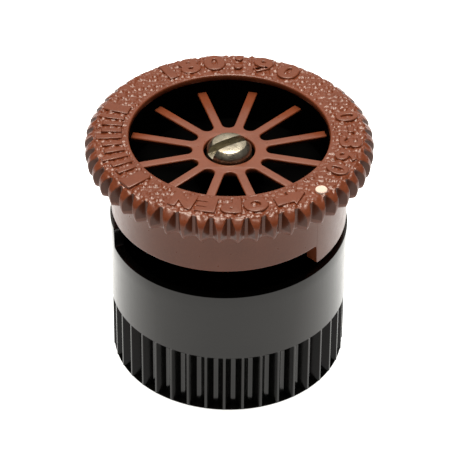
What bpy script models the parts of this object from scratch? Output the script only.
"""Adjustable-arc spray nozzle that screws onto the riser of a pop-up sprinkler.

The collar climbs on a coarse thread as it turns. Its helical edge and the matching edge of the base
each have one step, and the angle between the two steps is the arc that stays open for the spray.

Metres, +Z up, origin at the centre of the base's bottom rim. Bearings are in degrees, seen from
above: 0 is the front (-Y), and they grow anticlockwise, towards +X.
"""

import math

import bmesh
import bpy
from mathutils import Matrix, Vector

MM = 0.001
FRONT = -90.0  # degrees from +X to the front, where bearings start
SMOOTH_ANGLE = math.radians(32)
SEGMENTS = 60  # round a large turned surface
SMALL_SEGMENTS = 20  # round a small one, and along one turn of its thread

# Arc valve: one helix, shared by the base, the seat, the deflector and the collar
ARC_PITCH = 2.2 * MM  # climb in one turn, and the height of each step
BASE_STEP = -73.6  # bearing of the step in the base and the seat
COLLAR_STEP = 46.8  # bearing of the step in the collar and the deflector
STEP_LEAN = 0.8  # degrees that a step face takes from its high to its low edge

# Base
BAND_RADIUS = 11.7 * MM
BAND_TOP = 14.5 * MM  # height of the helical edge at bearing 0
CUP_RADIUS = 10.7 * MM
CUP_FLOOR = 8.2 * MM
GRIP_HEIGHT = 6.7 * MM
GRIP_TIP_RADIUS = 11.6 * MM
GRIP_ROOT_RADIUS = 10.78 * MM
GRIP_RIBS = 40
GRIP_BEARING = -1.6  # bearing of one rib's tip
FOOT_RADIUS = 11.5 * MM
FOOT_HEIGHT = 0.15 * MM
SOCKET_CHAMFER = 0.45 * MM
THROAT_RADIUS = 3.6 * MM

# Female riser thread
RISER_SHOULDER = 7.0 * MM
SHOULDER_RADIUS = 7.4 * MM  # round it a relief, so that the riser's end meets a clear flat ring
SHOULDER_RELIEF = 0.4 * MM
RISER_MAJOR_RADIUS = 8.05 * MM
RISER_MINOR_RADIUS = 7.6 * MM
RISER_PITCH = 0.907 * MM  # 28 threads per inch
RISER_THREAD = (0.9 * MM, 6.2 * MM)
RISER_SEGMENTS = 40

# Helical seat
SEAT_FOOT = CUP_FLOOR + 0.3 * MM
SEAT_OUTER_RADIUS = 10.2 * MM
SEAT_INNER_RADIUS = 8.9 * MM
SEAT_TOP = 14.2 * MM  # at bearing 0
HUB_BOTTOM = 14.8 * MM
HUB_TOP = 17.8 * MM
HUB_OUTER_RADIUS = 4.7 * MM
HUB_BORE_RADIUS = 3.45 * MM
HUB_CREST_RADIUS = 2.95 * MM
STRUTS = 6
STRUT_WIDTH = 1.0 * MM

# Collar
RIM_TOP = 25.4 * MM
RIM_BOTTOM = 22.75 * MM
RIM_BELLY = 24.35 * MM  # height at which the teeth stand out furthest
TOOTH_TIP_RADIUS = 14.0 * MM
TOOTH_ROOT_RADIUS = 13.15 * MM
TOOTH_TOP_RADIUS = 13.4 * MM
TOOTH_BOTTOM_RADIUS = 13.6 * MM
TEETH = 50
TOOTH_BEARING = 3.6
SKIRT_OUTER_RADIUS = 11.57 * MM
SKIRT_INNER_RADIUS = 10.25 * MM
SKIRT_EDGE = 17.6 * MM  # at bearing 0
LIP_RADIUS = 9.73 * MM
LIP_HEIGHT = 0.6 * MM
SPOKES = 12
SPOKE_BEARING = 16.4
SPOKE_WIDTH = 0.9 * MM
SPOKE_TOP = 23.5 * MM
SPOKE_BOTTOM = 22.5 * MM
SPOKE_REACH = 10.45 * MM
SPOKE_ROOT_RADIUS = 3.6 * MM  # where the rounded gaps between spokes end
COLLAR_BORE_RADIUS = 2.5 * MM

# Index marks on the collar
MARK_TOP = 25.6 * MM
MARK_RADIUS = 11.75 * MM  # middle of the ring that carries the marks
ARROW_BEARINGS = (20.0, 29.0, 36.0)  # tail, barb and point
ARROW_SHAFT = 0.55 * MM
ARROW_BARB = 1.1 * MM
DOT_BEARING = 44.5
DOT_DISTANCE = 12.4 * MM
DOT_RADIUS = 0.55 * MM

# Deflector
VALVE_LIP_RADII = (9.0 * MM, 9.7 * MM)  # ring below the disc
DEFLECTOR_FLOOR = (18.8 * MM, 20.0 * MM)
LINER_RADII = (9.72 * MM, 10.05 * MM)  # wall above the disc, under the collar's lip
LINER_BOTTOM = 19.2 * MM
LINER_TOP = 24.6 * MM
WINDOW_WIDTH = 1.3 * MM  # in the liner, where a spoke passes
WINDOW_GAP = 0.2 * MM  # above and below the spoke
CLOSED_GAP = 0.3 * MM  # between the deflector's lip and the seat where the valve is shut
STEM_RADIUS = 2.75 * MM
STEM_CREST_RADIUS = 3.25 * MM
STEM_BOTTOM = 12.3 * MM
STEM_THREAD = (13.7 * MM, 18.5 * MM)
STEM_BORE_RADIUS = 1.95 * MM
SCREW_NUT = (12.9 * MM, 15.6 * MM)  # threaded stretch of the stem's bore
NUT_CREST_RADIUS = 1.6 * MM
RING_GROOVE = (12.7 * MM, 13.3 * MM)
RING_GROOVE_RADIUS = 2.4 * MM
SEAL_POCKET_RADIUS = 2.75 * MM
SEAL_POCKET_FLOOR = 19.1 * MM
SLEEVE_RADIUS = 3.3 * MM  # round the screw, from the disc up to the collar's hub
SLEEVE_TOP = 22.2 * MM

# Radius screw and the plug on its lower end
SCREW_PITCH = 1.0 * MM
HEAD_TOP = 24.35 * MM
HEAD_BOTTOM = 22.6 * MM
HEAD_RADIUS = 2.2 * MM
HEAD_CHAMFER = 0.3 * MM
SLOT_WIDTH = 1.0 * MM
SLOT_DEPTH = 0.9 * MM
SLOT_BEARING = 121.0  # bearing of one end of the slot
SHANK_RADIUS = 1.75 * MM
CORE_RADIUS = 1.45 * MM
SCREW_CREST_RADIUS = 1.8 * MM
SCREW_THREAD = (12.4 * MM, 17.9 * MM)
SHANK_BOTTOM = 18.0 * MM
TAIL_RADIUS = 1.0 * MM
TAIL_BOTTOM = 9.5 * MM
TAIL_NECK = (10.0 * MM, 10.5 * MM)
TAIL_NECK_RADIUS = 0.75 * MM
PLUG_TOP = 10.9 * MM
PLUG_FLANGE = 9.9 * MM
PLUG_TIP = 8.6 * MM
PLUG_RADIUS = 3.4 * MM
PLUG_TIP_RADIUS = 1.7 * MM
PLUG_BORE_RADIUS = 1.15 * MM
PLUG_BORE_FLOOR = 9.3 * MM
PLUG_CATCH = (10.1 * MM, 10.4 * MM)
PLUG_CATCH_RADIUS = 0.88 * MM

# Ring and seal
RING = (12.8 * MM, 13.2 * MM)
RING_INNER_RADIUS = 2.55 * MM
RING_OUTER_RADIUS = 4.3 * MM
RING_GAP = 24.0  # degrees
SEAL_RADIUS = 2.25 * MM
SEAL_WIRE = 0.38 * MM
SEAL_HEIGHT = 19.55 * MM


def clear_scene():
    for obj in list(bpy.data.objects):
        bpy.data.objects.remove(obj)


def radians(bearing):
    """Angle from +X of a bearing."""
    return math.radians(bearing + FRONT)


def polar(radius, bearing, z=0.0):
    angle = radians(bearing)
    return (radius * math.cos(angle), radius * math.sin(angle), z)


def make_material(name, colour, roughness, metallic=0.0):
    material = bpy.data.materials.new(name)
    material.use_nodes = True
    shader = material.node_tree.nodes["Principled BSDF"]
    shader.inputs["Base Color"].default_value = (*colour, 1.0)
    shader.inputs["Roughness"].default_value = roughness
    shader.inputs["Metallic"].default_value = metallic
    material.diffuse_color = (*colour, 1.0)
    return material


# ---------------------------------------------------------------- solids


def turned(outline, segments=SMALL_SEGMENTS):
    """A solid turned round +Z. An outline that starts and ends on the axis is left open there."""
    bm = bmesh.new()
    verts = [bm.verts.new((r, 0.0, z)) for r, z in outline]
    pairs = list(zip(verts, verts[1:]))
    if outline[0][0] > 0.0:
        pairs.append((verts[-1], verts[0]))
    edges = [bm.edges.new(pair) for pair in pairs]
    bmesh.ops.spin(
        bm, geom=verts + edges, cent=(0, 0, 0), axis=(0, 0, 1), angle=math.tau,
        steps=segments, use_merge=True,
    )
    bmesh.ops.remove_doubles(bm, verts=bm.verts, dist=0.00001 * MM)
    bmesh.ops.recalc_face_normals(bm, faces=bm.faces)
    return bm


def revolved(outline_at, bearings):
    """A ring-shaped solid whose closed outline of (radius, height) points may change with bearing."""
    bm = bmesh.new()
    sections = []
    for bearing in bearings:
        sections.append([bm.verts.new(polar(r, bearing, z)) for r, z in outline_at(bearing)])
    for section, following in zip(sections, sections[1:] + sections[:1]):
        for i in range(len(section)):
            j = (i + 1) % len(section)
            bm.faces.new((section[i], following[i], following[j], section[j]))
    bmesh.ops.recalc_face_normals(bm, faces=bm.faces)
    return bm


def prism(outline, depth, bm=None):
    """An outline of (x, y, z) points extruded by the vector depth."""
    bm = bm or bmesh.new()
    face = bm.faces.new([bm.verts.new(point) for point in outline])
    extruded = bmesh.ops.extrude_face_region(bm, geom=[face])["geom"]
    moved = [v for v in extruded if isinstance(v, bmesh.types.BMVert)]
    bmesh.ops.translate(bm, verts=moved, vec=depth)
    bmesh.ops.recalc_face_normals(bm, faces=bm.faces)
    return bm


def thread_ridge(root, crest, pitch, span, steps, lift=0.0, first_bearing=0.0):
    """One right-hand ridge from radius root to radius crest. lift moves it along its axis."""
    bm = bmesh.new()
    foot, tip = 0.4 * pitch, 0.14 * pitch
    rise = pitch / steps
    low = math.ceil((span[0] - lift) / rise)
    high = math.floor((span[1] - lift) / rise)
    sections = []
    for i in range(low, high + 1):
        bearing = first_bearing + 360.0 * i / steps
        z = lift + rise * i
        fade = min(1.0, 0.2 + (i - low) / 5, 0.2 + (high - i) / 5)
        top = root + (crest - root) * fade
        outline = ((root, z - foot / 2), (top, z - tip / 2), (top, z + tip / 2), (root, z + foot / 2))
        sections.append([bm.verts.new(polar(r, bearing, height)) for r, height in outline])
    bm.faces.new(sections[0])
    bm.faces.new(reversed(sections[-1]))
    for section, following in zip(sections, sections[1:]):
        for i in range(4):
            j = (i + 1) % 4
            bm.faces.new((section[i], following[i], following[j], section[j]))
    bmesh.ops.triangulate(bm, faces=bm.faces)
    bmesh.ops.recalc_face_normals(bm, faces=bm.faces)
    return bm


# ---------------------------------------------------------------- helical edges and ribs


def bearings_from_step(step, spacing, start=0.0):
    """Bearings once round from a step's low edge to its high edge, on a regular spacing between."""
    first, last = step + STEP_LEAN, step + 360.0
    bearings = [first]
    count = round(360.0 / spacing)
    offset = (start - first) % spacing
    for i in range(count + 1):
        bearing = first + offset + i * spacing
        if first + 0.4 * spacing < bearing < last - 0.4 * spacing:
            bearings.append(bearing)
    bearings.append(last)
    return bearings


def helical_edge(height, bearing):
    """Height of a helical edge that is at height at bearing 0."""
    return height + ARC_PITCH * bearing / 360.0


def ribbed(tip, root, ribs, first, bearing):
    """Radius of a surface of V-shaped ribs, with a rib's tip at bearing first."""
    pitch = 360.0 / ribs
    from_tip = abs((bearing - first + pitch / 2) % pitch - pitch / 2) / (pitch / 2)
    return tip + (root - tip) * from_tip


# ---------------------------------------------------------------- objects


def height_of(obj):
    return 0.0 if obj is None else obj.location.z + height_of(obj.parent)


def add_joint_empty(name, height, parent=None):
    empty = bpy.data.objects.new(name, None)
    bpy.context.collection.objects.link(empty)
    empty.parent = parent
    empty.location.z = height - height_of(parent)
    return empty


def add_piece(name, bm, material, origin_height=0.0, parent=None):
    """Makes an object with its origin on the nozzle's axis at origin_height."""
    bmesh.ops.translate(bm, verts=bm.verts, vec=(0, 0, -origin_height))
    mesh = bpy.data.meshes.new(name)
    bm.to_mesh(mesh)
    bm.free()
    mesh.materials.append(material)
    mesh.shade_smooth()
    mesh.set_sharp_from_angle(angle=SMOOTH_ANGLE)
    obj = bpy.data.objects.new(name, mesh)
    bpy.context.collection.objects.link(obj)
    obj.parent = parent
    obj.location.z = origin_height - height_of(parent)
    return obj


def combine(piece, name, bm, operation):
    """Adds or cuts a shape, given in world heights, with a Boolean modifier on piece."""
    helper = add_piece(name, bm, piece.data.materials[0], height_of(piece), piece.parent)
    helper.hide_render = True
    helper.display_type = "WIRE"
    modifier = piece.modifiers.new(name, "BOOLEAN")
    modifier.operation = operation
    modifier.object = helper
    modifier.solver = "EXACT"


# ---------------------------------------------------------------- pieces


def make_base(material):
    """Knurled grip on a thin foot, helical band, riser socket and inlet throat."""

    def outline(bearing):
        grip = ribbed(GRIP_TIP_RADIUS, GRIP_ROOT_RADIUS, GRIP_RIBS, GRIP_BEARING, bearing)
        top = helical_edge(BAND_TOP, bearing)
        return (
            (FOOT_RADIUS, 0.0),
            (FOOT_RADIUS, FOOT_HEIGHT),
            (grip, FOOT_HEIGHT),
            (grip, GRIP_HEIGHT),
            (BAND_RADIUS, GRIP_HEIGHT),
            (BAND_RADIUS, top),
            (CUP_RADIUS, top),
            (CUP_RADIUS, CUP_FLOOR),
            (THROAT_RADIUS, CUP_FLOOR),
            (THROAT_RADIUS, 0.0),
        )

    spacing = 180.0 / GRIP_RIBS
    base = add_piece(
        "nozzle_base", revolved(outline, bearings_from_step(BASE_STEP, spacing, GRIP_BEARING)),
        material,
    )
    socket = turned(
        (
            (0.0, -MM),
            (RISER_MAJOR_RADIUS + SOCKET_CHAMFER + MM, -MM),
            (RISER_MAJOR_RADIUS, SOCKET_CHAMFER),
            (RISER_MAJOR_RADIUS, RISER_SHOULDER + SHOULDER_RELIEF),
            (SHOULDER_RADIUS, RISER_SHOULDER + SHOULDER_RELIEF),
            (SHOULDER_RADIUS, RISER_SHOULDER),
            (0.0, RISER_SHOULDER),
        ),
        RISER_SEGMENTS,
    )
    turn = Matrix.Rotation(radians(GRIP_BEARING), 4, "Z")
    bmesh.ops.transform(socket, matrix=turn, verts=socket.verts)
    combine(base, "riser_socket_cutter", socket, "DIFFERENCE")
    ridge = thread_ridge(
        RISER_MAJOR_RADIUS + 0.15 * MM, RISER_MINOR_RADIUS, RISER_PITCH, RISER_THREAD,
        RISER_SEGMENTS // 2, first_bearing=GRIP_BEARING,
    )
    combine(base, "riser_thread_form", ridge, "UNION")
    return base


def make_seat(material):
    """Helical valve seat in the base, with the threaded hub that the stem climbs in."""

    def outline(bearing):
        top = helical_edge(SEAT_TOP, bearing)
        return (
            (SEAT_OUTER_RADIUS, SEAT_FOOT),
            (SEAT_OUTER_RADIUS, top),
            (SEAT_INNER_RADIUS, top),
            (SEAT_INNER_RADIUS, SEAT_FOOT),
        )

    bearings = bearings_from_step(BASE_STEP, 360.0 / SEGMENTS)
    seat = add_piece("helix_seat", revolved(outline, bearings), material, SEAT_FOOT)
    hub = turned(
        (
            (HUB_BORE_RADIUS, HUB_BOTTOM),
            (HUB_OUTER_RADIUS, HUB_BOTTOM),
            (HUB_OUTER_RADIUS, HUB_TOP),
            (HUB_BORE_RADIUS, HUB_TOP),
        )
    )
    combine(seat, "seat_hub_form", hub, "UNION")
    struts = bmesh.new()
    inside, outside = HUB_OUTER_RADIUS - 0.4 * MM, SEAT_INNER_RADIUS + 0.4 * MM
    side = (
        (inside, HUB_BOTTOM + 0.3 * MM),
        (SEAT_INNER_RADIUS - 0.9 * MM, SEAT_FOOT + 1.7 * MM),
        (outside, SEAT_FOOT + 1.7 * MM),
        (outside, SEAT_FOOT + 4.2 * MM),
        (SEAT_INNER_RADIUS - 0.9 * MM, SEAT_FOOT + 4.2 * MM),
        (inside, HUB_TOP - 1.2 * MM),
    )
    for i in range(STRUTS):
        turn = Matrix.Rotation(math.tau * (i + 0.5) / STRUTS, 4, "Z")
        strut = prism([(r, -STRUT_WIDTH / 2, z) for r, z in side], (0, STRUT_WIDTH, 0))
        bmesh.ops.transform(strut, matrix=turn, verts=strut.verts)
        append(struts, strut)
    combine(seat, "seat_strut_forms", struts, "UNION")
    ridge = thread_ridge(
        HUB_BORE_RADIUS + 0.15 * MM, HUB_CREST_RADIUS, ARC_PITCH,
        (HUB_BOTTOM + 0.5 * MM, HUB_TOP - 0.5 * MM), SMALL_SEGMENTS, lift=ARC_PITCH / 2,
    )
    combine(seat, "seat_thread_form", ridge, "UNION")
    return seat


def append(bm, other):
    """Adds the mesh other to bm, and frees it."""
    mesh = bpy.data.meshes.new("joined")
    other.to_mesh(mesh)
    other.free()
    bm.from_mesh(mesh)
    bpy.data.meshes.remove(mesh)


def spider_outline():
    """Hub and spokes seen from above, counter-clockwise, with a round gap end between spokes."""
    half_pitch = math.pi / SPOKES
    half_width = SPOKE_WIDTH / 2
    sine = math.sin(half_pitch)
    fillet = (SPOKE_ROOT_RADIUS * sine - half_width) / (1 - sine)
    centre_radius = SPOKE_ROOT_RADIUS + fillet
    turn_points = 5
    points = []
    for i in range(SPOKES):
        spoke = radians(SPOKE_BEARING + 360.0 * i / SPOKES)
        along = Matrix.Rotation(spoke, 2)
        for side in (-half_width, half_width):
            points.append(along @ Vector((SPOKE_REACH, side)))
        middle = spoke + half_pitch
        for k in range(turn_points + 1):
            swing = (math.pi - 2 * half_pitch) * k / turn_points
            angle = middle - math.pi / 2 - half_pitch - swing
            x = centre_radius * math.cos(middle) + fillet * math.cos(angle)
            y = centre_radius * math.sin(middle) + fillet * math.sin(angle)
            points.append((x, y))
    return points


def make_collar(material, parent):
    """Toothed rim, lip, spokes, hub and helical skirt, in one moulding."""

    def outline(bearing):
        def tooth(tip):
            return ribbed(tip, TOOTH_ROOT_RADIUS, TEETH, TOOTH_BEARING, bearing)

        low = helical_edge(SKIRT_EDGE - ARC_PITCH, bearing)  # the front is at bearing 360 here
        return (
            (LIP_RADIUS, RIM_TOP),
            (tooth(TOOTH_TOP_RADIUS), RIM_TOP),
            (tooth(TOOTH_TIP_RADIUS), RIM_BELLY),
            (tooth(TOOTH_BOTTOM_RADIUS), RIM_BOTTOM),
            (SKIRT_OUTER_RADIUS, RIM_BOTTOM),
            (SKIRT_OUTER_RADIUS, low),
            (SKIRT_INNER_RADIUS, low),
            (SKIRT_INNER_RADIUS, RIM_TOP - LIP_HEIGHT),
            (LIP_RADIUS, RIM_TOP - LIP_HEIGHT),
        )

    bearings = bearings_from_step(COLLAR_STEP, 180.0 / TEETH, TOOTH_BEARING)
    collar = add_piece("arc_collar", revolved(outline, bearings), material, SKIRT_EDGE, parent)
    depth = SPOKE_TOP - SPOKE_BOTTOM
    spider = prism([(x, y, SPOKE_BOTTOM) for x, y in spider_outline()], (0, 0, depth))
    combine(collar, "spoke_form", spider, "UNION")
    bore = turned(
        (
            (0.0, SPOKE_BOTTOM - MM),
            (COLLAR_BORE_RADIUS, SPOKE_BOTTOM - MM),
            (COLLAR_BORE_RADIUS, SPOKE_TOP + MM),
            (0.0, SPOKE_TOP + MM),
        )
    )
    combine(collar, "collar_bore_cutter", bore, "DIFFERENCE")
    combine(collar, "index_mark_forms", index_marks(), "UNION")
    return collar


def index_marks():
    """Raised arrow that shows which way opens the arc, and the dot over the collar's step."""
    base = RIM_TOP - 0.3 * MM
    rise = (0, 0, MARK_TOP - base)
    tail, barb, point = ARROW_BEARINGS
    corners = (
        (MARK_RADIUS - ARROW_SHAFT, tail),
        (MARK_RADIUS + ARROW_SHAFT, tail),
        (MARK_RADIUS + ARROW_SHAFT, barb),
        (MARK_RADIUS + ARROW_BARB, barb),
        (MARK_RADIUS, point),
        (MARK_RADIUS - ARROW_BARB, barb),
        (MARK_RADIUS - ARROW_SHAFT, barb),
    )
    marks = prism([polar(r, bearing, base) for r, bearing in corners], rise)
    x, y, _ = polar(DOT_DISTANCE, DOT_BEARING)
    sides = 16
    ring = [math.tau * i / sides for i in range(sides)]
    circle = [(x + DOT_RADIUS * math.cos(a), y + DOT_RADIUS * math.sin(a), base) for a in ring]
    append(marks, prism(circle, rise))
    return marks


def make_deflector(material, parent):
    """Disc on a hollow threaded stem. Its helical lip meets the seat, and the liner above it is
    moulded round the collar's spokes, so that the two turn together."""
    lip_inner, lip_outer = VALVE_LIP_RADII
    liner_inner, liner_outer = LINER_RADII
    floor_bottom, floor_top = DEFLECTOR_FLOOR
    groove_bottom, groove_top = RING_GROOVE
    overlap = 0.15 * MM
    disc_hole = STEM_BORE_RADIUS + overlap

    def outline(bearing):
        low = helical_edge(SEAT_TOP + CLOSED_GAP, bearing)
        return (
            (lip_outer, low),
            (lip_outer, LINER_BOTTOM),
            (liner_outer, LINER_BOTTOM),
            (liner_outer, LINER_TOP),
            (liner_inner, LINER_TOP),
            (liner_inner, floor_top),
            (SLEEVE_RADIUS, floor_top),
            (SLEEVE_RADIUS, SLEEVE_TOP),
            (disc_hole, SLEEVE_TOP),
            (disc_hole, floor_bottom),
            (lip_inner, floor_bottom),
            (lip_inner, low),
        )

    bearings = bearings_from_step(COLLAR_STEP, 360.0 / SEGMENTS)
    deflector = add_piece(
        "spray_deflector", revolved(outline, bearings), material, floor_top, parent
    )
    windows = bmesh.new()
    inside, outside = liner_inner - MM, liner_outer + MM
    window_bottom, window_top = SPOKE_BOTTOM - WINDOW_GAP, SPOKE_TOP + WINDOW_GAP
    for i in range(SPOKES):
        corners = (
            (inside, -WINDOW_WIDTH / 2, window_bottom),
            (outside, -WINDOW_WIDTH / 2, window_bottom),
            (outside, WINDOW_WIDTH / 2, window_bottom),
            (inside, WINDOW_WIDTH / 2, window_bottom),
        )
        window = prism(corners, (0, 0, window_top - window_bottom))
        turn = Matrix.Rotation(radians(SPOKE_BEARING + 360.0 * i / SPOKES), 4, "Z")
        bmesh.ops.transform(window, matrix=turn, verts=window.verts)
        append(windows, window)
    combine(deflector, "spoke_window_cutters", windows, "DIFFERENCE")
    stem = turned(
        (
            (STEM_BORE_RADIUS, floor_bottom + overlap),
            (STEM_BORE_RADIUS, STEM_BOTTOM),
            (STEM_RADIUS, STEM_BOTTOM),
            (STEM_RADIUS, groove_bottom),
            (RING_GROOVE_RADIUS, groove_bottom),
            (RING_GROOVE_RADIUS, groove_top),
            (STEM_RADIUS, groove_top),
            (STEM_RADIUS, floor_bottom + overlap),
        )
    )
    combine(deflector, "stem_form", stem, "UNION")
    pocket = turned(
        (
            (0.0, SEAL_POCKET_FLOOR),
            (SEAL_POCKET_RADIUS, SEAL_POCKET_FLOOR),
            (SEAL_POCKET_RADIUS, SLEEVE_TOP + MM),
            (0.0, SLEEVE_TOP + MM),
        )
    )
    combine(deflector, "seal_pocket_cutter", pocket, "DIFFERENCE")
    stem_thread = thread_ridge(
        STEM_RADIUS - 0.15 * MM, STEM_CREST_RADIUS, ARC_PITCH, STEM_THREAD, SMALL_SEGMENTS
    )
    combine(deflector, "stem_thread_form", stem_thread, "UNION")
    nut_thread = thread_ridge(
        STEM_BORE_RADIUS + 0.15 * MM, NUT_CREST_RADIUS, SCREW_PITCH, SCREW_NUT, SMALL_SEGMENTS,
        lift=SCREW_PITCH / 2,
    )
    combine(deflector, "nut_thread_form", nut_thread, "UNION")
    return deflector


def make_screw(material, parent):
    """Slotted radius-adjusting screw with a necked tail for the plug."""
    neck_bottom, neck_top = TAIL_NECK
    outline = (
        (0.0, HEAD_TOP),
        (HEAD_RADIUS - HEAD_CHAMFER, HEAD_TOP),
        (HEAD_RADIUS, HEAD_TOP - HEAD_CHAMFER),
        (HEAD_RADIUS, HEAD_BOTTOM),
        (SHANK_RADIUS, HEAD_BOTTOM),
        (SHANK_RADIUS, SHANK_BOTTOM),
        (CORE_RADIUS, SHANK_BOTTOM - 0.3 * MM),
        (CORE_RADIUS, SCREW_THREAD[0] - 0.2 * MM),
        (TAIL_RADIUS, SCREW_THREAD[0] - 0.4 * MM),
        (TAIL_RADIUS, neck_top),
        (TAIL_NECK_RADIUS, neck_top),
        (TAIL_NECK_RADIUS, neck_bottom),
        (TAIL_RADIUS, neck_bottom),
        (TAIL_RADIUS, TAIL_BOTTOM),
        (0.0, TAIL_BOTTOM),
    )
    screw = add_piece("radius_screw", turned(outline), material, HEAD_TOP, parent)
    thread = thread_ridge(
        CORE_RADIUS - 0.15 * MM, SCREW_CREST_RADIUS, SCREW_PITCH, SCREW_THREAD, SMALL_SEGMENTS
    )
    combine(screw, "screw_thread_form", thread, "UNION")
    half_width, half_length = SLOT_WIDTH / 2, HEAD_RADIUS + MM
    bottom = HEAD_TOP - SLOT_DEPTH
    corners = (
        (-half_length, -half_width, bottom),
        (half_length, -half_width, bottom),
        (half_length, half_width, bottom),
        (-half_length, half_width, bottom),
    )
    slot = prism(corners, (0, 0, SLOT_DEPTH + MM))
    turn = Matrix.Rotation(radians(SLOT_BEARING), 4, "Z")
    bmesh.ops.transform(slot, matrix=turn, verts=slot.verts)
    combine(screw, "slot_cutter", slot, "DIFFERENCE")
    return screw


def make_plug(material, parent):
    """Throttle plug, snapped over the screw's tail so that it rises and falls with it."""
    catch_bottom, catch_top = PLUG_CATCH
    outline = (
        (0.0, PLUG_TIP),
        (PLUG_TIP_RADIUS, PLUG_TIP),
        (PLUG_RADIUS, PLUG_FLANGE),
        (PLUG_RADIUS, PLUG_TOP),
        (PLUG_BORE_RADIUS, PLUG_TOP),
        (PLUG_BORE_RADIUS, catch_top),
        (PLUG_CATCH_RADIUS, catch_top),
        (PLUG_CATCH_RADIUS, catch_bottom),
        (PLUG_BORE_RADIUS, catch_bottom),
        (PLUG_BORE_RADIUS, PLUG_BORE_FLOOR),
        (0.0, PLUG_BORE_FLOOR),
    )
    return add_piece("throttle_plug", turned(outline), material, PLUG_TOP, parent)


def make_ring(material, parent):
    """Split ring in the stem's groove. It stops under the seat's hub when the arc is fully open."""
    bm = bmesh.new()
    steps = 40
    low, high = RING
    sections = []
    for i in range(steps + 1):
        bearing = RING_GAP / 2 + (360.0 - RING_GAP) * i / steps
        corners = (
            (RING_INNER_RADIUS, low),
            (RING_OUTER_RADIUS, low),
            (RING_OUTER_RADIUS, high),
            (RING_INNER_RADIUS, high),
        )
        sections.append([bm.verts.new(polar(r, bearing, z)) for r, z in corners])
    bm.faces.new(sections[0])
    bm.faces.new(reversed(sections[-1]))
    for section, following in zip(sections, sections[1:]):
        for i in range(4):
            j = (i + 1) % 4
            bm.faces.new((section[i], following[i], following[j], section[j]))
    bmesh.ops.recalc_face_normals(bm, faces=bm.faces)
    return add_piece("retaining_ring", bm, material, low, parent)


def make_seal(material, parent):
    """O-ring round the screw's shank, in the pocket of the deflector's hub."""
    bpy.ops.mesh.primitive_torus_add(
        major_radius=SEAL_RADIUS, minor_radius=SEAL_WIRE, major_segments=SMALL_SEGMENTS,
        minor_segments=10,
    )
    seal = bpy.context.active_object
    seal.name = seal.data.name = "screw_o_ring"
    seal.data.materials.append(material)
    seal.data.shade_smooth()
    seal.parent = parent
    seal.location.z = SEAL_HEIGHT - height_of(parent)
    return seal


def build():
    clear_scene()
    black = make_material("black_moulded_plastic", (0.018, 0.018, 0.017), 0.38)
    gloss_black = make_material("black_gloss_plastic", (0.012, 0.012, 0.012), 0.22)
    brown = make_material("red_brown_moulded_plastic", (0.17, 0.075, 0.05), 0.42)
    steel = make_material("stainless_steel", (0.62, 0.6, 0.55), 0.28, 1.0)
    dark_steel = make_material("blackened_spring_steel", (0.03, 0.03, 0.03), 0.45, 1.0)
    rubber = make_material("seal_rubber", (0.02, 0.02, 0.02), 0.7)
    make_base(black)
    make_seat(gloss_black)
    lift = add_joint_empty("collar_lift_axis", RING[0])
    make_ring(dark_steel, lift)
    turn = add_joint_empty("collar_turn_axis", SKIRT_EDGE, lift)
    make_collar(brown, turn)
    make_deflector(gloss_black, turn)
    make_seal(rubber, turn)
    travel = add_joint_empty("screw_travel_axis", PLUG_TOP, turn)
    make_plug(gloss_black, travel)
    make_screw(steel, travel)


build()
